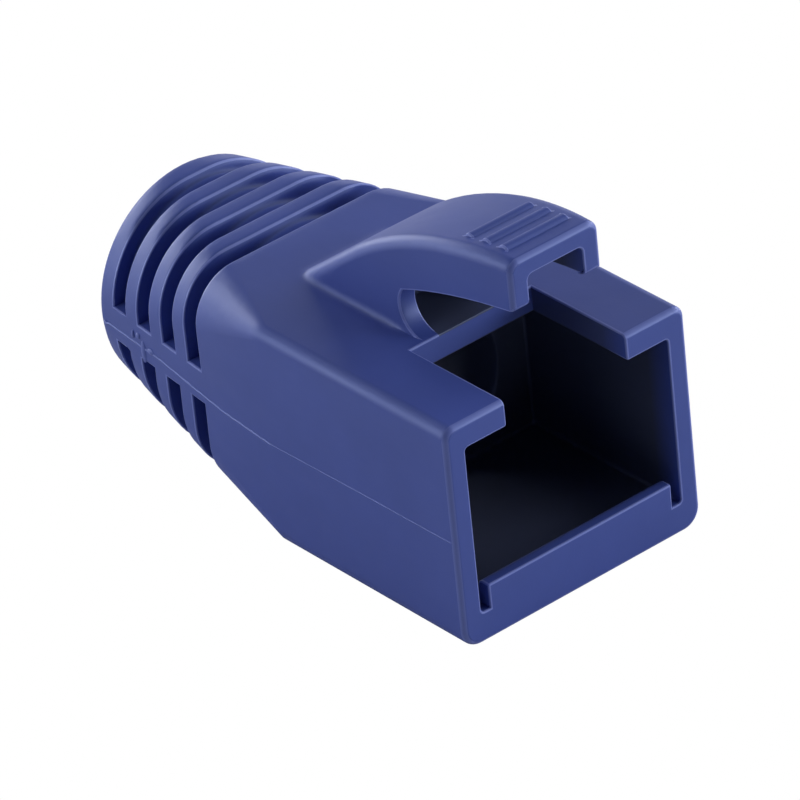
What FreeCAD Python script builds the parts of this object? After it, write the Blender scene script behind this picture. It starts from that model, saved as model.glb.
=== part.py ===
import FreeCAD, Part
import math
import os
import Sketcher
from FreeCAD import Vector

# Strain relief boot for a modular data plug, moulded in one piece. X runs across the boot,
# Y from the open mouth back along the cable, and Z up. The origin is under the middle of
# the boot, on the surface that it lies on. Millimetres.

# Driving dimensions. Distances along the boot start at the mouth face, heights at the
# underside.
SIZES = [
    ("overall_length", 27.2, "mouth face to rear face"),
    ("box_width", 14.3, "plug housing, outer"),
    ("box_height", 11.72, "plug housing, outer"),
    ("box_length", 13.0, "straight part of the housing, up to the taper"),
    ("box_top_corner", 0.6, "outer radius along the top of the housing"),
    ("box_low_corner", 1.0, "outer radius along the bottom of the housing"),
    ("mouth_edge", 0.3, "rounding of the outer edges of the mouth face"),
    ("neck_diameter", 11.25, "neck at its rear face, flush with the top of the housing"),
    ("neck_flat", 0.1, "flat between the quarter rounds of the rear face"),
    ("rear_edge", 0.3, "rounding of the outer edge of the rear face"),
    ("side_wall", 1.1, "wall beside the plug"),
    ("floor_wall", 1.62, "wall under the plug"),
    ("roof_wall", 1.35, "wall above the plug"),
    ("cavity_depth", 10.2, "plug cavity, mouth to rear wall"),
    ("cavity_corner", 0.2, "corner radius of the plug cavity"),
    ("cavity_end", 0.15, "rounding where the cavity's walls meet its rear wall"),
    ("slot_width", 7.2, "latch slot in the roof"),
    ("slot_length", 6.4, "latch slot, mouth to its rear edge"),
    ("sill_height", 1.25, "catch sill above the cavity floor"),
    ("sill_thickness", 0.8, "catch sill along the boot"),
    ("sill_gap", 0.55, "gap between the catch sill and each side wall"),
    ("sill_edge", 0.35, "rounding of the sill's rear edge"),
    ("bore_diameter", 7.6, "cable bore"),
    ("funnel_diameter", 8.5, "wide end of the funnel, at the cavity's rear wall"),
    ("funnel_length", 2.0, "funnel that leads into the bore"),
    ("sleeve_diameter", 10.4, "round sleeve left at the bottom of the grooves"),
    ("groove_width", 1.05, "bend relief groove"),
    ("groove_pitch", 2.12, "one bend relief groove to the next"),
    ("groove_start", 18.44, "mouth to the first groove"),
    ("groove_count", 4, "grooves above, and as many below"),
    ("bridge_height", 1.85, "side bridge between the upper and lower grooves"),
    ("hood_width", 5.6, "latch hood, outer"),
    ("hood_narrowing", 0.18, "inset of each cheek at the front end of the hood"),
    ("hood_taper_length", 5.0, "front stretch over which the hood narrows"),
    ("hood_top", 18.28, "top of the hood at the mouth"),
    ("cheek_height", 2.52, "cheek of the hood at the mouth"),
    ("crown_length", 10.5, "crown of the hood, mouth to its rear bend"),
    ("crown_end", 15.19, "height of the crown where its rear bend starts"),
    ("crown_radius", 19.6, "crown of the hood, in side view"),
    ("rear_bend_radius", 14.0, "rear bend of the hood, in side view"),
    ("hood_foot", 15.25, "mouth to the foot of the hood"),
    ("hood_edge", 0.6, "rounding along the top of the hood"),
    ("hood_wall", 1.0, "wall of the hood"),
    ("hollow_depth", 10.0, "hollow inside the hood, from the mouth"),
    ("hollow_corner", 0.3, "rounding under the ceiling of the hollow"),
    ("gap_setback", 0.13, "rear edge of the slot to the low end of the side openings"),
    ("gap_end_radius", 1.4, "rounded rear end of the side openings"),
    ("gap_corner_rise", 0.84, "centre of that round up to the corner above it"),
    ("gap_top_radius", 28.0, "upper edge of the side openings"),
    ("ridge_count", 3, "grip ridges on the hood"),
    ("ridge_pitch", 1.15, "one grip ridge to the next"),
    ("ridge_start", 1.3, "mouth to the first grip ridge"),
    ("ridge_width", 3.7, "grip ridge across the hood"),
    ("ridge_radius", 0.4, "round of a grip ridge"),
    ("ridge_rise", 0.15, "grip ridge above the crown"),
    ("overlap", 0.5, "how far an added piece runs into its neighbour and a cut runs past it"),
]

doc = FreeCAD.newDocument("strain_relief_boot")
sheet = doc.addObject("Spreadsheet::Sheet", "Sizes")
for row, (alias, value, note) in enumerate(SIZES, start=1):
    sheet.set("A%d" % row, note)
    sheet.set("B%d" % row, str(value))
    sheet.setAlias("B%d" % row, alias)
doc.recompute()


def size(alias):
    """A driving dimension, as the first guess of a sketch"""
    return float(getattr(sheet, alias))


def origin_feature(body, role):
    """Plane or axis of a body's own origin"""
    return next(feature for feature in body.Origin.OriginFeatures if feature.Role == role)


def new_sketch(body, name, role, offsets):
    """Sketch on an origin plane, moved along its own axes by the offsets' expressions"""
    sketch = body.newObject("Sketcher::SketchObject", name)
    sketch.AttachmentSupport = [(origin_feature(body, role), "")]
    sketch.MapMode = "FlatFace"
    for axis, expression in offsets.items():
        sketch.setExpression("AttachmentOffset.Base." + axis, expression)
    return sketch


def cross_section(body, name, distance):
    """Sketch across the boot at a distance from the mouth: its x is X and its y is Z"""
    return new_sketch(body, name, "XZ_Plane", {"z": "Sizes.overall_length / 2 - (%s)" % distance})


def side_view(body, name):
    """Sketch in the middle plane: its x is the distance from the mouth and its y is Z"""
    return new_sketch(body, name, "YZ_Plane", {"x": "-Sizes.overall_length / 2"})


def plan_view(body, name, height):
    """Sketch in plan at a height: its x is X and its y is the distance from the mouth"""
    return new_sketch(body, name, "XY_Plane", {"y": "-Sizes.overall_length / 2", "z": height})


def line(sketch, start, end):
    return sketch.addGeometry(Part.LineSegment(Vector(*start, 0), Vector(*end, 0)), False)


def arc(sketch, centre, start, end, construction=False):
    """Anticlockwise arc about a centre, between the directions of two points"""
    first = math.atan2(start[1] - centre[1], start[0] - centre[0])
    last = math.atan2(end[1] - centre[1], end[0] - centre[0])
    radius = math.dist(centre, start)
    circle = Part.Circle(Vector(*centre, 0), Vector(0, 0, 1), radius)
    return sketch.addGeometry(Part.ArcOfCircle(circle, first, last), construction)


def bind(sketch, name, expression, kind, *measured):
    """Dimension of a sketch, first as drawn and then tied to the sheet by an expression"""
    if kind == "Radius":
        drawn = sketch.Geometry[measured[0]].Radius
    else:
        reach = sketch.getPoint(*measured[2:]) - sketch.getPoint(*measured[:2])
        drawn = reach.x if kind == "DistanceX" else reach.y
    index = sketch.addConstraint(Sketcher.Constraint(kind, *measured, drawn))
    sketch.renameConstraint(index, name)
    sketch.setExpression("Constraints." + name, expression)


def join(sketch, *pairs):
    """Makes ends meet: each pair is two (edge, end) pairs"""
    for (edge, end), (other, other_end) in pairs:
        sketch.addConstraint(Sketcher.Constraint("Coincident", edge, end, other, other_end))


def level(sketch, *edges):
    for edge in edges:
        sketch.addConstraint(Sketcher.Constraint("Horizontal", edge))


def upright(sketch, *edges):
    for edge in edges:
        sketch.addConstraint(Sketcher.Constraint("Vertical", edge))


def rectangle(sketch, width, top, height):
    """Rectangle centred on the upright axis, drawn roughly and sized by three expressions"""
    half = size("box_width") / 2
    high = size("box_height")
    points = [(-half, 0), (half, 0), (half, high), (-half, high)]
    for i in range(4):
        line(sketch, points[i], points[(i + 1) % 4])
    join(sketch, *[((i, 2), ((i + 1) % 4, 1)) for i in range(4)])
    level(sketch, 2)
    upright(sketch, 1, 3)
    sketch.addConstraint(Sketcher.Constraint("Symmetric", 0, 1, 0, 2, -2))
    bind(sketch, "width", width, "DistanceX", 0, 1, 0, 2)
    bind(sketch, "top", top, "DistanceY", -1, 1, 2, 1)
    bind(sketch, "height", height, "DistanceY", 1, 1, 1, 2)


def rounded_rectangle(sketch, width, top, height, top_radius, low_radius):
    """Rounded rectangle centred on the upright axis, drawn as the housing's outline and
    sized by five expressions"""
    half = size("box_width") / 2
    high = size("box_height")
    r = size("box_low_corner")
    line(sketch, (r - half, 0), (half - r, 0))
    arc(sketch, (half - r, r), (half - r, 0), (half, r))
    line(sketch, (half, r), (half, high - r))
    arc(sketch, (half - r, high - r), (half, high - r), (half - r, high))
    line(sketch, (half - r, high), (r - half, high))
    arc(sketch, (r - half, high - r), (r - half, high), (-half, high - r))
    line(sketch, (-half, high - r), (-half, r))
    arc(sketch, (r - half, r), (-half, r), (r - half, 0))
    for i in range(8):
        sketch.addConstraint(Sketcher.Constraint("Tangent", i, 2, (i + 1) % 8, 1))
    level(sketch, 0, 4)
    upright(sketch, 2, 6)
    sketch.addConstraint(Sketcher.Constraint("Equal", 3, 5))
    sketch.addConstraint(Sketcher.Constraint("Symmetric", 2, 1, 6, 2, -2))
    bind(sketch, "width", width, "DistanceX", 6, 2, 2, 1)
    bind(sketch, "top", top, "DistanceY", -1, 1, 4, 1)
    bind(sketch, "height", height, "DistanceY", 0, 2, 4, 1)
    bind(sketch, "top_radius", top_radius, "Radius", 3)
    bind(sketch, "low_radius", low_radius, "Radius", 1)


def feature(body, kind, name, profile=None, length=None, **settings):
    """Adds a feature and checks that it adds or removes material, as its kind says"""
    before = body.Tip.Shape.Volume if body.Tip else 0
    made = body.newObject("PartDesign::" + kind, name)
    if profile is not None:
        made.Profile = profile
    for key, value in settings.items():
        setattr(made, key, value)
    if length is not None:
        made.setExpression("Length", length)
    doc.recompute()
    change = made.Shape.Volume - before
    grows = kind in ("Pad", "AdditiveLoft")
    if grows and change <= 0 or not grows and change >= 0:
        raise RuntimeError("%s leaves the volume as it was" % name)
    return made


def round_edges(body, name, radius, wanted):
    """Fillet on the edges of the body's last feature that the wanted test picks"""
    tip = body.Tip
    names = ["Edge%d" % i for i, edge in enumerate(tip.Shape.Edges, start=1) if wanted(edge)]
    if not names:
        raise RuntimeError("%s finds no edge" % name)
    made = body.newObject("PartDesign::Fillet", name)
    made.Base = (tip, names)
    made.setExpression("Radius", radius)
    doc.recompute()
    return made


def middle(edge):
    """Middle point of an edge"""
    return edge.valueAt((edge.FirstParameter + edge.LastParameter) / 2)


def lies_at(edge, axis, value):
    """True where the whole edge lies at one value of x, y or z"""
    points = [middle(edge)] + [vertex.Point for vertex in edge.Vertexes]
    return all(abs(getattr(point, axis) - value) < 1e-4 for point in points)


mouth_y = -size("overall_length") / 2
roof_z = size("box_height")
NECK_AXIS = "Sizes.box_height - Sizes.neck_diameter / 2"
neck_z = roof_z - size("neck_diameter") / 2
HOOD_SIDE_RADIUS = "(Sizes.hood_taper_length^2 + Sizes.hood_narrowing^2) / (2 * Sizes.hood_narrowing)"

boot = doc.addObject("PartDesign::Body", "boot")
boot.Label = "boot"


# Outer shell: a box with soft corners, and behind its shoulder a neck, flush with its top,
# that turns from the box's outline into a circle by straight rulings.
mouth_outline = cross_section(boot, "mouth_outline", "0")
rounded_rectangle(mouth_outline, "Sizes.box_width", "Sizes.box_height", "Sizes.box_height",
                  "Sizes.box_top_corner", "Sizes.box_low_corner")
feature(boot, "Pad", "housing", mouth_outline, "Sizes.box_length", Reversed=True)
shoulder_outline = cross_section(boot, "shoulder_outline", "Sizes.box_length")
rounded_rectangle(shoulder_outline, "Sizes.box_width", "Sizes.box_height", "Sizes.box_height",
                  "Sizes.box_top_corner", "Sizes.box_low_corner")
rear_outline = cross_section(boot, "rear_outline", "Sizes.overall_length")
REAR_RADIUS = "(Sizes.neck_diameter - Sizes.neck_flat) / 2"
rounded_rectangle(rear_outline, "Sizes.neck_diameter", "Sizes.box_height", "Sizes.neck_diameter",
                  REAR_RADIUS, REAR_RADIUS)
doc.recompute()
feature(boot, "AdditiveLoft", "neck", shoulder_outline, Sections=[rear_outline], Ruled=True)

# The rear face's outer edge is turned round, about the neck's axis.
rear_waste = side_view(boot, "rear_waste")
edge_round = size("rear_edge")
rear = size("overall_length")
spare = size("overlap")
rim = arc(rear_waste, (rear - edge_round, roof_z - edge_round), (rear, roof_z - edge_round),
          (rear - edge_round, roof_z))
rim_back = line(rear_waste, (rear, roof_z - edge_round), (rear + spare, roof_z - edge_round))
rim_far = line(rear_waste, (rear + spare, roof_z - edge_round), (rear + spare, roof_z + spare))
rim_over = line(rear_waste, (rear + spare, roof_z + spare), (rear - edge_round, roof_z + spare))
rim_near = line(rear_waste, (rear - edge_round, roof_z + spare), (rear - edge_round, roof_z))
join(rear_waste, ((rim, 1), (rim_back, 1)), ((rim_back, 2), (rim_far, 1)), ((rim_far, 2), (rim_over, 1)),
     ((rim_over, 2), (rim_near, 1)), ((rim_near, 2), (rim, 2)))
level(rear_waste, rim_back, rim_over)
upright(rear_waste, rim_far, rim_near)
rear_waste.addConstraint(Sketcher.Constraint("Horizontal", rim, 3, rim, 1))
rear_waste.addConstraint(Sketcher.Constraint("Vertical", rim, 3, rim, 2))
bind(rear_waste, "round", "Sizes.rear_edge", "Radius", rim)
bind(rear_waste, "rear", "Sizes.overall_length", "DistanceX", -1, 1, rim, 1)
bind(rear_waste, "top", "Sizes.box_height", "DistanceY", -1, 1, rim, 2)
bind(rear_waste, "beyond", "Sizes.overlap", "DistanceX", rim_back, 1, rim_back, 2)
bind(rear_waste, "over", "Sizes.overlap", "DistanceY", rim_near, 2, rim_near, 1)
neck_axis = line(rear_waste, (0, neck_z), (rear, neck_z))
rear_waste.setConstruction(neck_axis, True)
level(rear_waste, neck_axis)
bind(rear_waste, "axis", NECK_AXIS, "DistanceY", -1, 1, neck_axis, 1)
bind(rear_waste, "axis_end", "Sizes.overall_length", "DistanceX", -1, 1, neck_axis, 2)
rear_waste.addConstraint(Sketcher.Constraint("PointOnObject", neck_axis, 1, -2))
feature(boot, "Groove", "rear_rounding", rear_waste, ReferenceAxis=(rear_waste, ["Axis0"]))


# Bend relief: slots across the neck above and below a bridge on each side, down to a round
# sleeve, so that the neck bends up and down with the cable.
def relief_cut(name, side):
    """Section of the groove above (side 1) or below (side -1) the bridges"""
    sketch = cross_section(boot, name, "Sizes.groove_start")
    reach = size("box_width") / 2 + size("overlap")
    radius = size("sleeve_diameter") / 2
    near = size("bridge_height") / 2
    far = size("box_height") / 2 + size("overlap")
    inner = math.sqrt(radius * radius - near * near)
    low = neck_z + side * near
    high = neck_z + side * far
    line(sketch, (-reach, low), (-inner, low))
    line(sketch, (inner, low), (reach, low))
    line(sketch, (reach, low), (reach, high))
    line(sketch, (reach, high), (-reach, high))
    line(sketch, (-reach, high), (-reach, low))
    right_end, left_end = (1, 2) if side > 0 else (2, 1)
    ends = [(inner, low), (-inner, low)]
    arc(sketch, (0, neck_z), ends[right_end - 1], ends[left_end - 1])
    join(sketch, ((0, 2), (5, left_end)), ((5, right_end), (1, 1)), ((1, 2), (2, 1)),
         ((2, 2), (3, 1)), ((3, 2), (4, 1)), ((4, 2), (0, 1)))
    level(sketch, 0, 1, 3)
    upright(sketch, 2, 4)
    sketch.addConstraint(Sketcher.Constraint("PointOnObject", 5, 3, -2))
    sketch.addConstraint(Sketcher.Constraint("Horizontal", 5, 1, 5, 2))
    bind(sketch, "axis", NECK_AXIS, "DistanceY", -1, 1, 5, 3)
    bind(sketch, "sleeve", "Sizes.sleeve_diameter / 2", "Radius", 5)
    bind(sketch, "right", "Sizes.box_width / 2 + Sizes.overlap", "DistanceX", -1, 1, 2, 1)
    bind(sketch, "left", "Sizes.box_width / 2 + Sizes.overlap", "DistanceX", 4, 1, -1, 1)
    order = [(5, 3), (1, 1)] if side > 0 else [(1, 1), (5, 3)]
    bind(sketch, "bridge", "Sizes.bridge_height / 2", "DistanceY", *order[0], *order[1])
    order = [(5, 3), (3, 1)] if side > 0 else [(3, 1), (5, 3)]
    bind(sketch, "reach", "Sizes.box_height / 2 + Sizes.overlap", "DistanceY", *order[0], *order[1])
    return sketch


for name, side in (("upper_groove", 1), ("lower_groove", -1)):
    groove = feature(boot, "Pocket", name, relief_cut(name + "_section", side), "Sizes.groove_width")
    row = boot.newObject("PartDesign::LinearPattern", name + "s")
    row.Originals = [groove]
    row.Direction = (origin_feature(boot, "Y_Axis"), [""])
    row.Mode = "Spacing"
    row.setExpression("Offset", "Sizes.groove_pitch")
    row.setExpression("Occurrences", "Sizes.groove_count")
    boot.Tip = row
    doc.recompute()


# Latch hood: a bridge over the plug's latch, drawn in side view. Its crown falls gently
# from the mouth, bends down and runs straight to its foot on the neck.
def crown_arc(sketch, construction=False):
    """Crown in side view, from the mouth (its end 2) to the rear bend (its end 1)"""
    front = (0, size("hood_top"))
    back = (size("crown_length"), size("crown_end"))
    half = math.dist(front, back) / 2
    depth = math.sqrt(size("crown_radius") ** 2 - half ** 2)
    centre = ((front[0] + back[0]) / 2 + (back[1] - front[1]) / 2 / half * depth,
              (front[1] + back[1]) / 2 - (back[0] - front[0]) / 2 / half * depth)
    crown = arc(sketch, centre, back, front, construction)
    bind(sketch, "crown_radius", "Sizes.crown_radius", "Radius", crown)
    bind(sketch, "hood_top", "Sizes.hood_top", "DistanceY", -1, 1, crown, 2)
    bind(sketch, "crown_length", "Sizes.crown_length", "DistanceX", -1, 1, crown, 1)
    bind(sketch, "crown_end", "Sizes.crown_end", "DistanceY", -1, 1, crown, 1)
    sketch.addConstraint(Sketcher.Constraint("PointOnObject", crown, 2, -2))
    return crown, centre


hood_profile = side_view(boot, "hood_profile")
crown, crown_centre = crown_arc(hood_profile)
bend_start = (size("crown_length"), size("crown_end"))
share = size("rear_bend_radius") / size("crown_radius")
bend_centre = tuple(bend_start[i] + (crown_centre[i] - bend_start[i]) * share for i in (0, 1))
foot = (size("hood_foot"), size("box_height"))
foot_angle = math.atan2(foot[1] - bend_centre[1], foot[0] - bend_centre[0])
turn = math.acos(size("rear_bend_radius") / math.dist(foot, bend_centre))
bend_end = (bend_centre[0] + size("rear_bend_radius") * math.cos(foot_angle + turn),
            bend_centre[1] + size("rear_bend_radius") * math.sin(foot_angle + turn))
bend = arc(hood_profile, bend_centre, bend_end, bend_start)
sunk = (foot[0], foot[1] - size("overlap"))
slope = line(hood_profile, bend_end, foot)
heel = line(hood_profile, foot, sunk)
base = line(hood_profile, sunk, (0, sunk[1]))
front = line(hood_profile, (0, sunk[1]), (0, size("hood_top")))
join(hood_profile, ((slope, 2), (heel, 1)), ((heel, 2), (base, 1)), ((base, 2), (front, 1)),
     ((front, 2), (crown, 2)))
hood_profile.addConstraint(Sketcher.Constraint("Tangent", crown, 1, bend, 2))
hood_profile.addConstraint(Sketcher.Constraint("Tangent", bend, 1, slope, 1))
level(hood_profile, base)
upright(hood_profile, heel, front)
bind(hood_profile, "rear_bend", "Sizes.rear_bend_radius", "Radius", bend)
bind(hood_profile, "foot", "Sizes.hood_foot", "DistanceX", -1, 1, slope, 2)
bind(hood_profile, "roof", "Sizes.box_height", "DistanceY", -1, 1, slope, 2)
bind(hood_profile, "sunk", "Sizes.overlap", "DistanceY", heel, 2, heel, 1)
feature(boot, "Pad", "hood", hood_profile, "Sizes.hood_width", SideType="Symmetric")


# The cheeks draw in towards the mouth on a long round, tangent to the straight stretch. The
# cut stays above the roof: what is left under it goes with the side openings.
cheek_waste = plan_view(boot, "cheek_waste", "Sizes.box_height + Sizes.overlap")
half = size("hood_width") / 2
inset = half - size("hood_narrowing")
start = size("hood_taper_length")
side_radius = (start ** 2 + size("hood_narrowing") ** 2) / (2 * size("hood_narrowing"))
cheek_waste_z = roof_z + spare
flank = arc(cheek_waste, (half - side_radius, start), (inset, 0), (half, start))
waste_back = line(cheek_waste, (half, start), (half + spare, start))
waste_side = line(cheek_waste, (half + spare, start), (half + spare, 0))
waste_front = line(cheek_waste, (half + spare, 0), (inset, 0))
join(cheek_waste, ((flank, 2), (waste_back, 1)), ((waste_back, 2), (waste_side, 1)),
     ((waste_side, 2), (waste_front, 1)), ((waste_front, 2), (flank, 1)))
level(cheek_waste, waste_back, waste_front)
upright(cheek_waste, waste_side)
cheek_waste.addConstraint(Sketcher.Constraint("Horizontal", flank, 3, flank, 2))
cheek_waste.addConstraint(Sketcher.Constraint("PointOnObject", flank, 1, -1))
bind(cheek_waste, "half_width", "Sizes.hood_width / 2", "DistanceX", -1, 1, flank, 2)
bind(cheek_waste, "inset", "Sizes.hood_width / 2 - Sizes.hood_narrowing", "DistanceX", -1, 1, flank, 1)
bind(cheek_waste, "start", "Sizes.hood_taper_length", "DistanceY", -1, 1, flank, 2)
bind(cheek_waste, "spare", "Sizes.overlap", "DistanceX", waste_back, 1, waste_back, 2)
trim = feature(boot, "Pocket", "cheek_trim", cheek_waste, "Sizes.hood_top", Reversed=True)
other_trim = boot.newObject("PartDesign::Mirrored", "other_cheek_trim")
other_trim.Originals = [trim]
other_trim.MirrorPlane = (origin_feature(boot, "YZ_Plane"), [""])
boot.Tip = other_trim
doc.recompute()


def along_hood_top(edge):
    """Edges where the crown, the rear bend and the slope meet the cheeks"""
    point = middle(edge)
    ends = [vertex.Point for vertex in edge.Vertexes]
    on_side = abs(abs(point.x) - half) < size("hood_narrowing") + 1e-3
    upright_edge = abs(ends[0].y - ends[-1].y) < 1e-4
    behind_taper = point.y > mouth_y + start + 1e-3 and point.z > roof_z + 1e-3
    return on_side and not upright_edge and (behind_taper or point.z > cheek_waste_z + 1e-3)


round_edges(boot, "hood_top_rounding", "Sizes.hood_edge", along_hood_top)


# Side openings: the space under the hood is open on both sides at the mouth, so the latch
# can be pressed. One cut straight across, with a round rear end that meets the roof.
gap_profile = side_view(boot, "gap_profile")
skirt = size("hood_top") - size("cheek_height")
gap_low = (size("slot_length") + size("gap_setback"), size("box_height"))
gap_radius = size("gap_end_radius")
gap_centre = (gap_low[0], gap_low[1] + gap_radius)
rise = size("gap_corner_rise")
corner = (gap_centre[0] + math.sqrt(gap_radius ** 2 - rise ** 2), gap_centre[1] + rise)
half_chord = math.dist((0, skirt), corner) / 2
depth = math.sqrt(size("gap_top_radius") ** 2 - half_chord ** 2)
top_centre = (corner[0] / 2 + (corner[1] - skirt) / 2 / half_chord * depth,
              (corner[1] + skirt) / 2 - corner[0] / 2 / half_chord * depth)
gap_top = arc(gap_profile, top_centre, corner, (0, skirt))
gap_end = arc(gap_profile, gap_centre, gap_low, corner)
gap_floor = line(gap_profile, gap_low, (-spare, gap_low[1]))
gap_front = line(gap_profile, (-spare, gap_low[1]), (-spare, skirt))
gap_entry = line(gap_profile, (-spare, skirt), (0, skirt))
join(gap_profile, ((gap_top, 1), (gap_end, 2)), ((gap_end, 1), (gap_floor, 1)),
     ((gap_floor, 2), (gap_front, 1)), ((gap_front, 2), (gap_entry, 1)), ((gap_entry, 2), (gap_top, 2)))
level(gap_profile, gap_floor, gap_entry)
upright(gap_profile, gap_front)
gap_profile.addConstraint(Sketcher.Constraint("PointOnObject", gap_top, 2, -2))
gap_profile.addConstraint(Sketcher.Constraint("Vertical", gap_end, 3, gap_end, 1))
bind(gap_profile, "skirt", "Sizes.hood_top - Sizes.cheek_height", "DistanceY", -1, 1, gap_top, 2)
bind(gap_profile, "top_radius", "Sizes.gap_top_radius", "Radius", gap_top)
bind(gap_profile, "end_radius", "Sizes.gap_end_radius", "Radius", gap_end)
bind(gap_profile, "rise", "Sizes.gap_corner_rise", "DistanceY", gap_end, 3, gap_end, 2)
bind(gap_profile, "low_end", "Sizes.slot_length + Sizes.gap_setback", "DistanceX", -1, 1, gap_end, 1)
bind(gap_profile, "roof", "Sizes.box_height", "DistanceY", -1, 1, gap_end, 1)
bind(gap_profile, "spare", "Sizes.overlap", "DistanceX", gap_front, 1, -1, 1)
feature(boot, "Pocket", "side_openings", gap_profile, "Sizes.hood_width + 2 * Sizes.overlap",
        SideType="Symmetric")
round_edges(boot, "mouth_rounding", "Sizes.mouth_edge", lambda edge: lies_at(edge, "y", mouth_y))


# Hollow of the hood, one wall inside it all round and open at the mouth: the shape of the
# mould's core, drawn as a body of its own and taken out of the boot.
core = doc.addObject("PartDesign::Body", "hood_core")
core_plan = plan_view(core, "core_plan", "Sizes.box_height")
core_half = half - size("hood_wall")
core_radius = side_radius - size("hood_wall")
core_front = core_half - core_radius + math.sqrt(core_radius ** 2 - (start + spare) ** 2)
hollow_end = size("hollow_depth")
right = arc(core_plan, (half - side_radius, start), (core_front, -spare), (core_half, start))
left = arc(core_plan, (side_radius - half, start), (-core_half, start), (-core_front, -spare))
right_wall = line(core_plan, (core_half, start), (core_half, hollow_end))
back_wall = line(core_plan, (core_half, hollow_end), (-core_half, hollow_end))
left_wall = line(core_plan, (-core_half, hollow_end), (-core_half, start))
mouth_line = line(core_plan, (-core_front, -spare), (core_front, -spare))
core_plan.addConstraint(Sketcher.Constraint("Tangent", right, 2, right_wall, 1))
core_plan.addConstraint(Sketcher.Constraint("Tangent", left_wall, 2, left, 1))
join(core_plan, ((right_wall, 2), (back_wall, 1)), ((back_wall, 2), (left_wall, 1)),
     ((left, 2), (mouth_line, 1)), ((mouth_line, 2), (right, 1)))
level(core_plan, mouth_line)
upright(core_plan, right_wall, left_wall)
core_plan.addConstraint(Sketcher.Constraint("Symmetric", back_wall, 1, back_wall, 2, -2))
core_plan.addConstraint(Sketcher.Constraint("Equal", right, left))
core_plan.addConstraint(Sketcher.Constraint("Horizontal", right, 2, left, 1))
bind(core_plan, "side_radius", HOOD_SIDE_RADIUS + " - Sizes.hood_wall", "Radius", right)
bind(core_plan, "width", "Sizes.hood_width - 2 * Sizes.hood_wall", "DistanceX", back_wall, 2, back_wall, 1)
bind(core_plan, "depth", "Sizes.hollow_depth", "DistanceY", -1, 1, back_wall, 1)
bind(core_plan, "start", "Sizes.hood_taper_length", "DistanceY", -1, 1, right, 2)
bind(core_plan, "spare", "Sizes.overlap", "DistanceY", right, 1, -1, 1)
feature(core, "Pad", "core_block", core_plan, "Sizes.hood_top - Sizes.box_height")

# What lies above the ceiling is cut off the core: the ceiling follows the crown.
ceiling_waste = side_view(core, "ceiling_waste")
guide, crown_centre = crown_arc(ceiling_waste, construction=True)
ceiling_radius = size("crown_radius") - size("hood_wall")


def ceiling_height(distance):
    """Height of the ceiling at a distance from the mouth"""
    return crown_centre[1] + math.sqrt(ceiling_radius ** 2 - (distance - crown_centre[0]) ** 2)


waste_top = size("hood_top") + spare
near = (-2 * spare, ceiling_height(-2 * spare))
beyond = (hollow_end + spare, ceiling_height(hollow_end + spare))
ceiling = arc(ceiling_waste, crown_centre, beyond, near)
waste_near = line(ceiling_waste, near, (near[0], waste_top))
waste_over = line(ceiling_waste, (near[0], waste_top), (beyond[0], waste_top))
waste_far = line(ceiling_waste, (beyond[0], waste_top), beyond)
join(ceiling_waste, ((ceiling, 2), (waste_near, 1)), ((waste_near, 2), (waste_over, 1)),
     ((waste_over, 2), (waste_far, 1)), ((waste_far, 2), (ceiling, 1)), ((ceiling, 3), (guide, 3)))
level(ceiling_waste, waste_over)
upright(ceiling_waste, waste_near, waste_far)
bind(ceiling_waste, "ceiling_radius", "Sizes.crown_radius - Sizes.hood_wall", "Radius", ceiling)
bind(ceiling_waste, "over", "Sizes.hood_top + Sizes.overlap", "DistanceY", -1, 1, waste_over, 1)
bind(ceiling_waste, "near", "2 * Sizes.overlap", "DistanceX", waste_near, 1, -1, 1)
bind(ceiling_waste, "far", "Sizes.hollow_depth + Sizes.overlap", "DistanceX", -1, 1, waste_far, 1)
feature(core, "Pocket", "core_ceiling", ceiling_waste, "Sizes.hood_width", SideType="Symmetric")


def under_ceiling(edge):
    """Long edges where the core's ceiling meets its sides"""
    point = middle(edge)
    ends = [vertex.Point for vertex in edge.Vertexes]
    along = abs(ends[0].y - ends[-1].y) > 1e-3
    return along and abs(point.x) > core_front / 2 and point.z > roof_z + size("hood_wall")


round_edges(core, "core_rounding", "Sizes.hollow_corner", under_ceiling)
hollow = boot.newObject("PartDesign::Boolean", "hood_hollow")
hollow.Type = "Cut"
hollow.setObjects([core])
doc.recompute()


# Latch slot: the roof is open under the hood, from the mouth back to the slot's rear edge.
slot_plan = plan_view(boot, "slot_plan", "Sizes.box_height")
rectangle(slot_plan, "Sizes.slot_width", "Sizes.slot_length", "Sizes.slot_length + Sizes.overlap")
feature(boot, "Pocket", "latch_slot", slot_plan, "Sizes.roof_wall + Sizes.overlap")


# Plug cavity, with a flat rear wall that the plug stops at.
cavity_section = cross_section(boot, "cavity_section", "0")
rounded_rectangle(cavity_section, "Sizes.box_width - 2 * Sizes.side_wall",
                  "Sizes.box_height - Sizes.roof_wall",
                  "Sizes.box_height - Sizes.roof_wall - Sizes.floor_wall",
                  "Sizes.cavity_corner", "Sizes.cavity_corner")
feature(boot, "Pocket", "plug_cavity", cavity_section, "Sizes.cavity_depth")
cavity_y = mouth_y + size("cavity_depth")
round_edges(boot, "cavity_end_fillet", "Sizes.cavity_end", lambda edge: lies_at(edge, "y", cavity_y))


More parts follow.
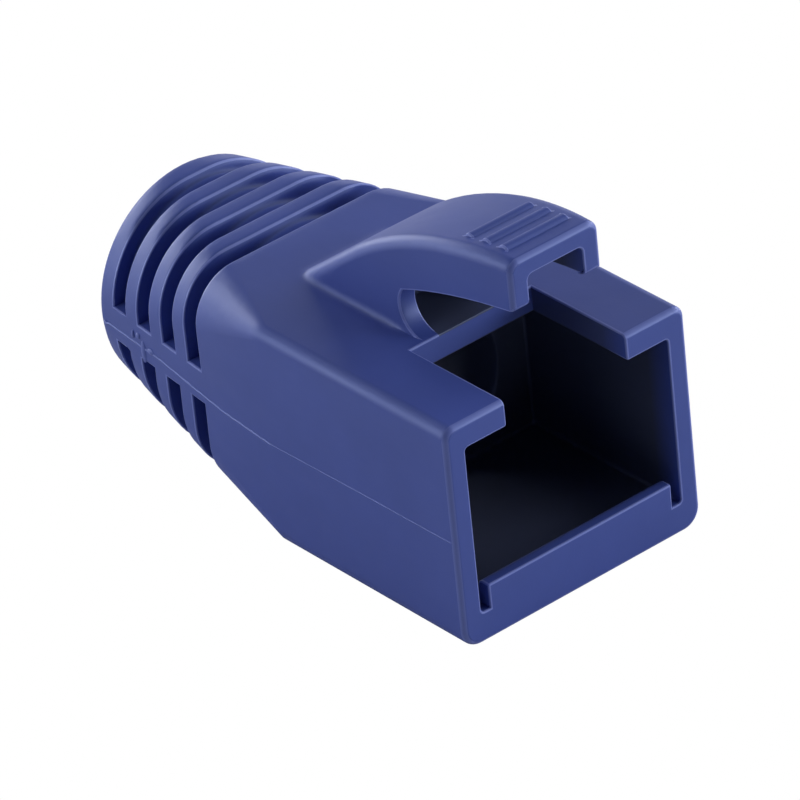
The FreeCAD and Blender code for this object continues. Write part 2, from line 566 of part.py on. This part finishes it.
# Catch sill: a low wall across the mouth floor, free of both side walls, round behind.
sill_section = cross_section(boot, "sill_section", "0")
rectangle(sill_section, "Sizes.box_width - 2 * Sizes.side_wall - 2 * Sizes.sill_gap",
          "Sizes.floor_wall + Sizes.sill_height", "Sizes.sill_height + Sizes.overlap")
feature(boot, "Pad", "catch_sill", sill_section, "Sizes.sill_thickness", Reversed=True)
sill_y = mouth_y + size("sill_thickness")
sill_z = size("floor_wall") + size("sill_height")
round_edges(boot, "sill_rounding", "Sizes.sill_edge",
            lambda edge: lies_at(edge, "y", sill_y) and lies_at(edge, "z", sill_z))


# Cable bore with the funnel that leads into it, turned about the neck's axis.
bore_profile = side_view(boot, "bore_profile")
stations = [(size("cavity_depth") - spare, size("funnel_diameter")),
            (size("cavity_depth"), size("funnel_diameter")),
            (size("cavity_depth") + size("funnel_length"), size("bore_diameter")),
            (size("overall_length") + spare, size("bore_diameter"))]
outline = [(y, neck_z + diameter / 2) for y, diameter in stations]
outline += [(stations[-1][0], neck_z), (stations[0][0], neck_z)]
for i in range(len(outline)):
    line(bore_profile, outline[i], outline[(i + 1) % len(outline)])
join(bore_profile, *[((i, 2), ((i + 1) % 6, 1)) for i in range(6)])
level(bore_profile, 0, 2, 4)
upright(bore_profile, 3, 5)
bind(bore_profile, "axis", NECK_AXIS, "DistanceY", -1, 1, 4, 1)
bind(bore_profile, "inside", "Sizes.cavity_depth - Sizes.overlap", "DistanceX", -1, 1, 0, 1)
bind(bore_profile, "rear_wall", "Sizes.overlap", "DistanceX", 0, 1, 0, 2)
bind(bore_profile, "funnel", "Sizes.funnel_length", "DistanceX", 1, 1, 1, 2)
bind(bore_profile, "beyond", "Sizes.overall_length + Sizes.overlap", "DistanceX", -1, 1, 3, 1)
bind(bore_profile, "wide", "Sizes.funnel_diameter / 2", "DistanceY", 5, 1, 5, 2)
bind(bore_profile, "bore", "Sizes.bore_diameter / 2", "DistanceY", 3, 2, 3, 1)
feature(boot, "Groove", "cable_bore", bore_profile, ReferenceAxis=(bore_profile, ["Edge5"]))


# Grip ridges: low round bars across the front of the crown, for the finger.
ridge_profile = side_view(boot, "ridge_profile")
guide, crown_centre = crown_arc(ridge_profile, construction=True)
ridge_depth = size("ridge_radius") - size("ridge_rise")
path_radius = size("crown_radius") - ridge_depth
path = ridge_profile.addGeometry(Part.Circle(Vector(*crown_centre, 0), Vector(0, 0, 1), path_radius), True)
join(ridge_profile, ((path, 3), (guide, 3)))
bind(ridge_profile, "path", "Sizes.crown_radius - Sizes.ridge_radius + Sizes.ridge_rise", "Radius", path)
for i in range(int(size("ridge_count"))):
    y = size("ridge_start") + i * size("ridge_pitch")
    z = crown_centre[1] + math.sqrt(path_radius ** 2 - (y - crown_centre[0]) ** 2)
    bar = ridge_profile.addGeometry(Part.Circle(Vector(y, z, 0), Vector(0, 0, 1), size("ridge_radius")), False)
    ridge_profile.addConstraint(Sketcher.Constraint("PointOnObject", bar, 3, path))
    bind(ridge_profile, "radius_%d" % i, "Sizes.ridge_radius", "Radius", bar)
    bind(ridge_profile, "place_%d" % i, "Sizes.ridge_start + %d * Sizes.ridge_pitch" % i,
         "DistanceX", -1, 1, bar, 3)
feature(boot, "Pad", "grip_ridges", ridge_profile, "Sizes.ridge_width", SideType="Symmetric")

doc.recompute()
for item in doc.Objects:
    if "Invalid" in item.State or "Error" in item.State:
        raise RuntimeError("%s failed: %s" % (item.Name, item.State))
if boot.Shape.isNull() or not boot.Shape.isValid() or len(boot.Shape.Solids) != 1:
    raise RuntimeError("the boot isn't one sound solid")
os.makedirs("parts", exist_ok=True)
boot.Shape.exportStep("parts/%s.step" % boot.Label)
box = boot.Shape.BoundBox
print("boot %.2f x %.2f x %.2f mm, %.1f cubic mm" % (box.XLength, box.YLength, box.ZLength, boot.Shape.Volume))
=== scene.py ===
import math

import bmesh
import bpy
from mathutils import Matrix, Vector, kdtree


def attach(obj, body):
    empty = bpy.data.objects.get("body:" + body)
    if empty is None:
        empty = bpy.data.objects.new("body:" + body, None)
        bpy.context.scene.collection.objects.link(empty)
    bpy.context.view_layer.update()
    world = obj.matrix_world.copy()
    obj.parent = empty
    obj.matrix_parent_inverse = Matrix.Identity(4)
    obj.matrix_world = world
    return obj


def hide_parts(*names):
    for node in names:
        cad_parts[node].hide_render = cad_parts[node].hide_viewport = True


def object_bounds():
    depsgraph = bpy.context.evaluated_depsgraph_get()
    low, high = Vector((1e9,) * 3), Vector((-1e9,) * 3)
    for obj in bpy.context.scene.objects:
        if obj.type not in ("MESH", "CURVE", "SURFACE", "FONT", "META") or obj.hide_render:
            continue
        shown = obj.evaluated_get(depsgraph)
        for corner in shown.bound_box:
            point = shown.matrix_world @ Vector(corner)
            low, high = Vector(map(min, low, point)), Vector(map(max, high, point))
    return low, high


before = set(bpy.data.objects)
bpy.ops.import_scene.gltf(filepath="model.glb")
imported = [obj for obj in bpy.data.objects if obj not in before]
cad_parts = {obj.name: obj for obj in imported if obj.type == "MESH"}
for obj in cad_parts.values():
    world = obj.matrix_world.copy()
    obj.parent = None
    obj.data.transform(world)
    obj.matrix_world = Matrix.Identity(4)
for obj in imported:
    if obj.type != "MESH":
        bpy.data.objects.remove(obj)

cad_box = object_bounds()


# The boot: one injection moulding in soft blue plastic, housing, latch hood and grooved
# neck in one. The moulding's own form comes whole from its solid, and its sharp outer edges
# get the slight break that a mould leaves. The rear face's rounding has none.
weld = 0.000001
flat = math.radians(0.05)
crease = math.radians(32)
edge_break = 0.0001
broken_angle = math.radians(50)
break_steps = 2
break_slot = 1
rear_rounding = 0.0006
roof = 0.01172
roof_cuts = (-0.0019, 0.0019)
level = 0.999
same_height = 0.00001
bpy.ops.object.select_all(action="DESELECT")
boot = bpy.data.objects.new("moulded_boot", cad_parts["boot"].data.copy())
bpy.context.scene.collection.objects.link(boot)
boot.select_set(True)
bpy.context.view_layer.objects.active = boot
bpy.ops.object.mode_set(mode="EDIT")
bpy.ops.mesh.select_all(action="SELECT")
bpy.ops.mesh.remove_doubles(threshold=weld)
bpy.ops.mesh.dissolve_limited(angle_limit=flat)
bpy.ops.object.mode_set(mode="OBJECT")
bpy.ops.object.shade_smooth_by_angle(angle=crease)
blue = bpy.data.materials.new("soft blue plastic")
boot.data.materials.clear()
boot.data.materials.append(blue)
boot.data.materials.append(blue)

# The roof's face is parted along the hollow's two sides, so that the part of it that lies inside the
# hood can take a painted shade.
shape = bmesh.new()
shape.from_mesh(boot.data)
for cut in roof_cuts:
    tops = [face for face in shape.faces
            if face.normal.z > level and abs(face.calc_center_median().z - roof) < same_height]
    edges = {edge for face in tops for edge in face.edges}
    corners = {vertex for face in tops for vertex in face.verts}
    bmesh.ops.bisect_plane(shape, geom=tops + list(edges) + list(corners),
                           plane_co=(cut, 0, 0), plane_no=(1, 0, 0))

# The break is put on the outer edges only, and what it pushes past the mouth's plane goes
# back onto it.
weight = shape.edges.layers.float.new("bevel_weight_edge")
for edge in shape.edges:
    sharp = edge.is_convex and edge.calc_face_angle(0) > broken_angle
    ahead = min(vertex.co.y for vertex in edge.verts) < cad_box[1][1] - rear_rounding
    edge[weight] = 1 if sharp and ahead else 0
shape.to_mesh(boot.data)
shape.free()
soften = boot.modifiers.new("edge break", "BEVEL")
soften.width = edge_break
soften.segments = break_steps
soften.limit_method = "WEIGHT"
soften.use_clamp_overlap = False
soften.material = break_slot
bpy.ops.object.modifier_apply(modifier=soften.name)
for vertex in boot.data.vertices:
    vertex.co.y = max(vertex.co.y, cad_box[0][1])

# The broken edges are the most burnished faces, and carry the fullest painted highlight. The break gave
# them the second slot, which then goes.
marks = boot.data.attributes.new("wear_and_highlight", "FLOAT", "FACE")
marks.data.foreach_set("value", [float(face.material_index) for face in boot.data.polygons])
boot.data.polygons.foreach_set("material_index", [0] * len(boot.data.polygons))
boot.data.materials.pop(index=break_slot)

# Flash: where the mould's halves met, a thin rib runs along each side, heavier and rougher
# on the neck. Its stations are (y, z), and its line lies on the wall.
stations = [(-0.0134, 0.00578), (-0.007, 0.00573), (-0.0008, 0.00563), (0.0032, 0.00554),
            (0.0055, 0.00568), (0.0085, 0.0059), (0.0132, 0.00586)]
flash_step = 0.0002
flash_radius = 0.000045
flash_weld = 0.0000001
flash_sunk = 0.6
# The flash is painted a little paler, in part a painted highlight.
flash_wear_and_highlight = 0.3
neck_start = -0.0006
box_weight = 0.8
neck_weight = 1.7
weight_ripple = 0.35
line_ripple = 0.00002
short_beat = 1.9
long_beat = 0.73
outside = 0.02
parts = [boot]
for side in (-1, 1):
    trail = bpy.data.curves.new("flash", "CURVE")
    trail.dimensions = "3D"
    trail.bevel_depth = flash_radius
    trail.bevel_resolution = 1
    trail.use_fill_caps = True
    spline = trail.splines.new("POLY")
    count = round((stations[-1][0] - stations[0][0]) / flash_step) + 1
    spline.points.add(count - 1)
    for i in range(count):
        y = stations[0][0] + i * flash_step
        k = next(k for k in range(1, len(stations)) if y <= stations[k][0] + flash_step / 2)
        (y0, z0), (y1, z1) = stations[k - 1], stations[k]
        z = z0 + (z1 - z0) * (y - y0) / (y1 - y0)
        rough = math.sin(short_beat * i + side) * math.sin(long_beat * i)
        heavy = box_weight if y < neck_start else neck_weight + weight_ripple * rough
        z += 0 if y < neck_start else line_ripple * rough
        hit, lean = boot.ray_cast(Vector((side * outside, y, z)), Vector((-side, 0, 0)))[1:3]
        spline.points[i].co = (*(hit - lean * flash_radius * heavy * flash_sunk), 1)
        spline.points[i].radius = heavy
    rib = bpy.data.objects.new("flash", trail)
    bpy.context.scene.collection.objects.link(rib)
    bpy.ops.object.select_all(action="DESELECT")
    rib.select_set(True)
    bpy.context.view_layer.objects.active = rib
    bpy.ops.object.convert(target="MESH")
    bpy.ops.object.mode_set(mode="EDIT")
    bpy.ops.mesh.select_all(action="SELECT")
    bpy.ops.mesh.remove_doubles(threshold=flash_weld)
    bpy.ops.mesh.normals_make_consistent(inside=False)
    bpy.ops.object.mode_set(mode="OBJECT")
    rib = bpy.context.object
    rib.data.materials.append(blue)
    marks = rib.data.attributes.new("wear_and_highlight", "FLOAT", "FACE")
    marks.data.foreach_set("value", [flash_wear_and_highlight] * len(rib.data.polygons))
    parts.append(rib)

# A short shot left a few small lumps on the flash of one side. Each is (y, z, half length,
# half height), low and rounded, and it sits on the wall.
lumps = [(0.00985, 0.0057, 0.00018, 0.0006), (0.0102, 0.0064, 0.00016, 0.00016),
         (0.0092, 0.00598, 0.00024, 0.00016), (0.01065, 0.00632, 0.0001, 0.00022)]
lump_proud = 0.00009
# The lumps are painted a little paler, in part a painted highlight.
lump_wear_and_highlight = 0.4
for y, z, half_length, half_height in lumps:
    hit = boot.ray_cast(Vector((-outside, y, z)), Vector((1, 0, 0)))[1]
    bpy.ops.object.select_all(action="DESELECT")
    bpy.ops.mesh.primitive_uv_sphere_add(segments=20, ring_count=10, radius=1, location=hit)
    lump = bpy.context.object
    lump.scale = (lump_proud, half_length, half_height)
    bpy.ops.object.transform_apply(location=True, rotation=False, scale=True)
    lump.data.materials.append(blue)
    marks = lump.data.attributes.new("wear_and_highlight", "FLOAT", "FACE")
    marks.data.foreach_set("value", [lump_wear_and_highlight] * len(lump.data.polygons))
    parts.append(lump)
bpy.ops.object.select_all(action="DESELECT")
for piece in parts:
    piece.select_set(True)
bpy.context.view_layer.objects.active = boot
bpy.ops.object.join()

# Shading normals: each corner takes the mean of the faces close round it that bend away by
# less than the crease, weighed by area, so that fillets shade evenly and flats stay flat.
reach = 0.00016
shape = bmesh.new()
shape.from_mesh(boot.data)
shape.faces.ensure_lookup_table()
centres = kdtree.KDTree(len(shape.faces))
for face in shape.faces:
    centres.insert(face.calc_center_median(), face.index)
centres.balance()
areas = [face.calc_area() for face in shape.faces]
near = [[entry[1] for entry in centres.find_range(vertex.co, reach)] for vertex in shape.verts]
normals = []
for face in shape.faces:
    for vertex in face.verts:
        mean = Vector()
        for index in {other.index for other in vertex.link_faces}.union(near[vertex.index]):
            if shape.faces[index].normal.dot(face.normal) > math.cos(crease):
                mean += shape.faces[index].normal * areas[index]
        normals.append(mean.normalized())

# Which faces the mould's edges and handling have burnished, so that they are smoother and painted paler
# as a highlight, and which lie inside the boot, where shade is painted in darker.
mouth_edge = 0.0003
rim_lean = (-0.97, -0.2)
# The mouth's rounded rim gets a painted highlight.
rim_wear_and_highlight = 0.55
wall = 0.0011
floor_top = 0.0015
roof_underside = 0.0105
slot_side = 0.0036
sideways = 0.9
hollow_side = 0.00182
hollow_rear = cad_box[0][1] + 0.01
not_upward = 0.05
cavity_rear = -0.0033
bore_start = cavity_rear - 0.0004
bore_axis = 0.0061
bore_reach = 0.0044
slot_shade = 0.7
wear_and_highlight = [mark.value for mark in boot.data.attributes["wear_and_highlight"].data]
inside = []
for face in shape.faces:
    middle = face.calc_center_median()
    if middle.y < cad_box[0][1] + mouth_edge and rim_lean[0] < face.normal.y < rim_lean[1]:
        wear_and_highlight[face.index] = max(rim_wear_and_highlight, wear_and_highlight[face.index])
    in_cavity = (abs(middle.x) < cad_box[1][0] - wall + edge_break and middle.y < cavity_rear
                 and floor_top < middle.z < roof_underside)
    in_hollow = (abs(middle.x) < hollow_side and middle.y < hollow_rear and roof - edge_break <= middle.z
                 and (face.normal.z <= not_upward or middle.z < roof + edge_break))
    in_bore = all(vertex.co.y >= bore_start
                  and math.hypot(vertex.co.x, vertex.co.z - bore_axis) < bore_reach
                  for vertex in face.verts)
    in_slot = (abs(abs(middle.x) - slot_side) < edge_break and roof_underside < middle.z < roof
               and middle.y < cavity_rear and abs(face.normal.x) > sideways)
    # Cavity, hollow and bore get the full painted shade, the slots' side walls less.
    inside.append(1.0 if in_cavity or in_hollow or in_bore else slot_shade if in_slot else 0.0)
shape.free()
boot.data.normals_split_custom_set(normals)
boot.data.attributes["wear_and_highlight"].data.foreach_set("value", wear_and_highlight)
boot.data.attributes.new("inside", "FLOAT", "FACE").data.foreach_set("value", inside)

# The soft blue plastic itself, with a bluish gloss.
gloss_tint = (0.5, 0.61, 1, 1)
gloss_level = 0.92
blue.use_nodes = True
nodes = blue.node_tree.nodes
links = blue.node_tree.links
plastic = nodes["Principled BSDF"]
plastic.inputs["Specular IOR Level"].default_value = gloss_level
plastic.inputs["Specular Tint"].default_value = gloss_tint
place = nodes.new("ShaderNodeTexCoord")

# Colour: a deep blue with the faint cloudiness of pigment in a soft moulding, painted paler as a
# highlight on the burnished edges, and painted darker as shade inside, from just behind the mouth.
deep_blue = (0.0318, 0.056, 0.272, 1)
cloudy_blue = (0.0355, 0.062, 0.3, 1)
highlight_blue = (0.14, 0.18, 0.5, 1)
painted_shade_blue = (0.034, 0.043, 0.088, 1)
cloud_scale = 260
shade_start = cad_box[0][1] + 0.0002
shade_full = cad_box[0][1] + 0.0016
clouds = nodes.new("ShaderNodeTexNoise")
clouds.inputs["Scale"].default_value = cloud_scale
clouds.inputs["Detail"].default_value = 4
clouds.inputs["Roughness"].default_value = 0.6
links.new(place.outputs["Object"], clouds.inputs["Vector"])
pigment = nodes.new("ShaderNodeValToRGB")
pigment.color_ramp.elements[0].position = 0.3
pigment.color_ramp.elements[0].color = deep_blue
pigment.color_ramp.elements[1].position = 0.7
pigment.color_ramp.elements[1].color = cloudy_blue
links.new(clouds.outputs["Fac"], pigment.inputs["Fac"])
worn_and_highlit = nodes.new("ShaderNodeAttribute")
worn_and_highlit.attribute_name = "wear_and_highlight"
painted_highlight = nodes.new("ShaderNodeMix")
painted_highlight.data_type = "RGBA"
painted_highlight.inputs["B"].default_value = highlight_blue
links.new(worn_and_highlit.outputs["Fac"], painted_highlight.inputs["Factor"])
links.new(pigment.outputs["Color"], painted_highlight.inputs["A"])
painted_shade_map = nodes.new("ShaderNodeAttribute")
painted_shade_map.attribute_name = "inside"
where = nodes.new("ShaderNodeSeparateXYZ")
links.new(place.outputs["Object"], where.inputs["Vector"])
depth = nodes.new("ShaderNodeMapRange")
depth.inputs["From Min"].default_value = shade_start
depth.inputs["From Max"].default_value = shade_full
links.new(where.outputs["Y"], depth.inputs["Value"])
shade = nodes.new("ShaderNodeMath")
shade.operation = "MULTIPLY"
links.new(painted_shade_map.outputs["Fac"], shade.inputs[0])
links.new(depth.outputs["Result"], shade.inputs[1])
shaded = nodes.new("ShaderNodeMix")
shaded.data_type = "RGBA"
shaded.inputs["B"].default_value = painted_shade_blue
links.new(shade.outputs["Value"], shaded.inputs["Factor"])
links.new(painted_highlight.outputs["Result"], shaded.inputs["A"])
links.new(shaded.outputs["Result"], plastic.inputs["Base Color"])

# Gloss: satin from a fine-blasted mould, uneven where the melt flowed along the boot, and
# smoother on the burnished edges.
along_the_flow = (1, 0.25, 1)
streak_scale = 900
satin_range = (0.46, 0.56)
burnish_smooths = -0.08
flow = nodes.new("ShaderNodeMapping")
flow.inputs["Scale"].default_value = along_the_flow
links.new(place.outputs["Object"], flow.inputs["Vector"])
streaks = nodes.new("ShaderNodeTexNoise")
streaks.inputs["Scale"].default_value = streak_scale
streaks.inputs["Detail"].default_value = 3
links.new(flow.outputs["Vector"], streaks.inputs["Vector"])
satin = nodes.new("ShaderNodeMapRange")
satin.inputs["To Min"].default_value = satin_range[0]
satin.inputs["To Max"].default_value = satin_range[1]
links.new(streaks.outputs["Fac"], satin.inputs["Value"])
smoother = nodes.new("ShaderNodeMath")
smoother.operation = "MULTIPLY_ADD"
smoother.inputs[1].default_value = burnish_smooths
links.new(worn_and_highlit.outputs["Fac"], smoother.inputs[0])
links.new(satin.outputs["Result"], smoother.inputs[2])
links.new(smoother.outputs["Value"], plastic.inputs["Roughness"])

# Relief: the grain of the blasted mould, and under it the slight waviness of a sunk wall.
grain_scale = 9000
grain_depth = 0.00001
grain_strength = 0.25
wave_scale = 420
wave_depth = 0.00004
wave_strength = 0.5
grain = nodes.new("ShaderNodeTexNoise")
grain.inputs["Scale"].default_value = grain_scale
grain.inputs["Detail"].default_value = 2
links.new(place.outputs["Object"], grain.inputs["Vector"])
fine = nodes.new("ShaderNodeBump")
fine.inputs["Strength"].default_value = grain_strength
fine.inputs["Distance"].default_value = grain_depth
links.new(grain.outputs["Fac"], fine.inputs["Height"])
waves = nodes.new("ShaderNodeTexNoise")
waves.inputs["Scale"].default_value = wave_scale
waves.inputs["Detail"].default_value = 1
links.new(place.outputs["Object"], waves.inputs["Vector"])
sunk = nodes.new("ShaderNodeBump")
sunk.inputs["Strength"].default_value = wave_strength
sunk.inputs["Distance"].default_value = wave_depth
links.new(waves.outputs["Fac"], sunk.inputs["Height"])
links.new(fine.outputs["Normal"], sunk.inputs["Normal"])
links.new(sunk.outputs["Normal"], plastic.inputs["Normal"])

# Root: the hood's cheeks run into the roof in a soft round, shaded here by the normals round
# each foot. It fades out away from the foot and ahead of the side openings' rear ends.
root_radius = 0.0006
root_samples = 8
root_sides = (0.0045, 0.0037)
root_heights = (roof + 0.0018, roof + 0.001)
root_lengths = (-0.0062, -0.005)
wide = nodes.new("ShaderNodeMath")
wide.operation = "ABSOLUTE"
links.new(where.outputs["X"], wide.inputs[0])
beside = nodes.new("ShaderNodeMapRange")
beside.inputs["From Min"].default_value = root_sides[0]
beside.inputs["From Max"].default_value = root_sides[1]
links.new(wide.outputs["Value"], beside.inputs["Value"])
above = nodes.new("ShaderNodeMapRange")
above.inputs["From Min"].default_value = root_heights[0]
above.inputs["From Max"].default_value = root_heights[1]
links.new(where.outputs["Z"], above.inputs["Value"])
behind = nodes.new("ShaderNodeMapRange")
behind.inputs["From Min"].default_value = root_lengths[0]
behind.inputs["From Max"].default_value = root_lengths[1]
links.new(where.outputs["Y"], behind.inputs["Value"])
foot = nodes.new("ShaderNodeMath")
foot.operation = "MULTIPLY"
links.new(beside.outputs["Result"], foot.inputs[0])
links.new(above.outputs["Result"], foot.inputs[1])
root = nodes.new("ShaderNodeMath")
root.operation = "MULTIPLY"
links.new(foot.outputs["Value"], root.inputs[0])
links.new(behind.outputs["Result"], root.inputs[1])
surface = nodes.new("ShaderNodeNewGeometry")
rounded = nodes.new("ShaderNodeBevel")
rounded.samples = root_samples
rounded.inputs["Radius"].default_value = root_radius
blend = nodes.new("ShaderNodeMix")
blend.data_type = "VECTOR"
links.new(root.outputs["Value"], blend.inputs["Factor"])
links.new(surface.outputs["Normal"], blend.inputs[4])
links.new(rounded.outputs["Normal"], blend.inputs[5])
links.new(blend.outputs[1], fine.inputs["Normal"])
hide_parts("boot")
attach(boot, "root")


# Studio: a plain pale floor of matt paper that shows white, with the air round it a faint
# even light. The boot rests on it.
floor_size = 3
paper_white = (0.8, 0.8, 0.8, 1)
paper_roughness = 0.9
air_light = 0.05
bpy.ops.object.select_all(action="DESELECT")
bpy.ops.mesh.primitive_plane_add(size=floor_size, location=(0, 0, 0))
floor = bpy.context.object
floor.name = "floor"
paper = bpy.data.materials.new("white paper")
paper.use_nodes = True
nodes = paper.node_tree.nodes
links = paper.node_tree.links
matt = nodes["Principled BSDF"]
matt.inputs["Base Color"].default_value = paper_white
matt.inputs["Roughness"].default_value = paper_roughness
glow = nodes.new("ShaderNodeEmission")
glow.inputs["Strength"].default_value = 1
rays = nodes.new("ShaderNodeLightPath")
mix = nodes.new("ShaderNodeMixShader")
links.new(rays.outputs["Is Camera Ray"], mix.inputs["Fac"])
links.new(matt.outputs["BSDF"], mix.inputs[1])
links.new(glow.outputs["Emission"], mix.inputs[2])
links.new(mix.outputs["Shader"], nodes["Material Output"].inputs["Surface"])
floor.data.materials.append(paper)

world = bpy.data.worlds.new("studio air")
bpy.context.scene.world = world
world.use_nodes = True
air = world.node_tree.nodes["Background"]
air.inputs["Color"].default_value = (1, 1, 1, 1)
air.inputs["Strength"].default_value = air_light


# Lamps: round soft boxes round the boot, most of them low. The strongest stands at the front
# right and lights the mouth's face, and those behind and above light the neck and the hood.
# Each is (name, height and bearing in degrees, watts).
lamp_distance = 0.5
lamp_width = 0.26
soft_boxes = [
    ("low_front_right", 12, 315, 1.48),
    ("low_right", 12, 270, 1.08),
    ("low_rear_right", 12, 225, 0.25),
    ("low_rear", 12, 180, 1.19),
    ("low_rear_left", 12, 135, 0.96),
    ("high_left", 42, 112, 0.46),
    ("high_right", 42, 292, 0.4),
    ("top_right", 72, 270, 0.24),
]
lit_point = Vector((0, 0, cad_box[1][2] / 3))
for name, height, bearing, power in soft_boxes:
    rise = math.radians(height)
    turn = math.radians(bearing)
    toward = Vector((-math.sin(turn) * math.cos(rise), -math.cos(turn) * math.cos(rise), math.sin(rise)))
    bpy.ops.object.select_all(action="DESELECT")
    bpy.ops.object.light_add(type="AREA", location=lit_point + toward * lamp_distance)
    lamp = bpy.context.object
    lamp.name = name
    lamp.data.shape = "DISK"
    lamp.data.size = lamp_width
    lamp.data.energy = power
    lamp.rotation_euler = (-toward).to_track_quat("-Z", "Y").to_euler()


# Camera: a long lens far off, above the boot's front left corner, rolled a little.
azimuth = math.radians(37.337)
elevation = math.radians(31.957)
roll = math.radians(-6.03)
distance = 0.36735
focal_length = 361.055
sensor_width = 36
nearest = 0.01
farthest = 10
aim = Vector((-0.000403, -0.001855, 0.005282))
out = Vector((-math.sin(azimuth) * math.cos(elevation), -math.cos(azimuth) * math.cos(elevation),
              math.sin(elevation)))
right = (-out).cross(Vector((0, 0, 1))).normalized()
up = right.cross(-out)
turned_right = math.cos(roll) * right + math.sin(roll) * up
turned_up = -math.sin(roll) * right + math.cos(roll) * up
lens = bpy.data.cameras.new("camera")
lens.sensor_width = sensor_width
lens.lens = focal_length
lens.clip_start = nearest
lens.clip_end = farthest
camera = bpy.data.objects.new("camera", lens)
bpy.context.scene.collection.objects.link(camera)
camera.matrix_world = Matrix.Translation(aim + out * distance) @ Matrix(
    (turned_right, turned_up, out)).transposed().to_4x4()
bpy.context.scene.camera = camera
bpy.context.scene.view_settings.view_transform = "Standard"
